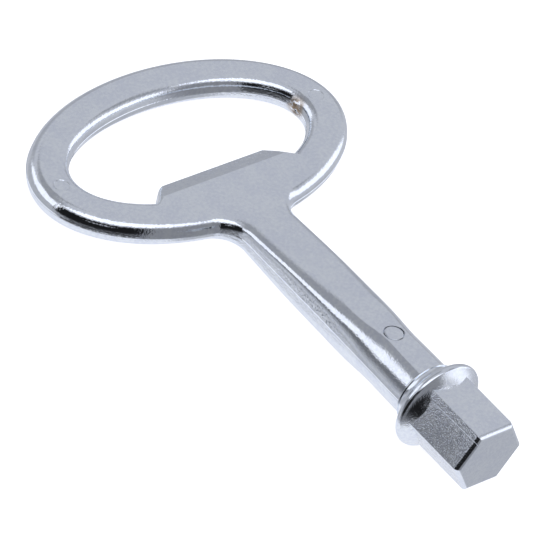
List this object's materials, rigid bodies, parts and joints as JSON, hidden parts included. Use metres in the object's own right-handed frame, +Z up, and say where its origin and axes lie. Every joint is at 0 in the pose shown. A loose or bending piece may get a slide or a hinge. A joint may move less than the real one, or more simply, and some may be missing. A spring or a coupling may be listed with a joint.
{
  "type": "hexagonal service key",
  "caption": "Small chromed service key: oval finger bow with a bevelled lip, flatted round shank, collar and male hexagonal drive.",
  "frame": {"origin": "bottom centre of the key's box as it lies on a table, resting on its collar and the far edge of its bow", "axes": "+Y from the hexagonal drive to the bow, along the key seen from above; +Z up; +X across the bow. The key's own axis leans 3.94 degrees down towards the bow"},
  "size_m": [0.0412, 0.0668, 0.011],
  "materials": {
    "plated_zinc": "bright chrome over smooth zinc casting, satin on the flats",
    "plated_bit": "bright chrome over a fine-grained surface",
    "plated_pin": "bright chrome, flush and dressed with the shank's flat"
  },
  "bodies": {
    "root": {"handle": "plated_zinc", "drive_bit": "plated_bit", "cross_pin": "plated_pin"}
  },
  "joints": []
}
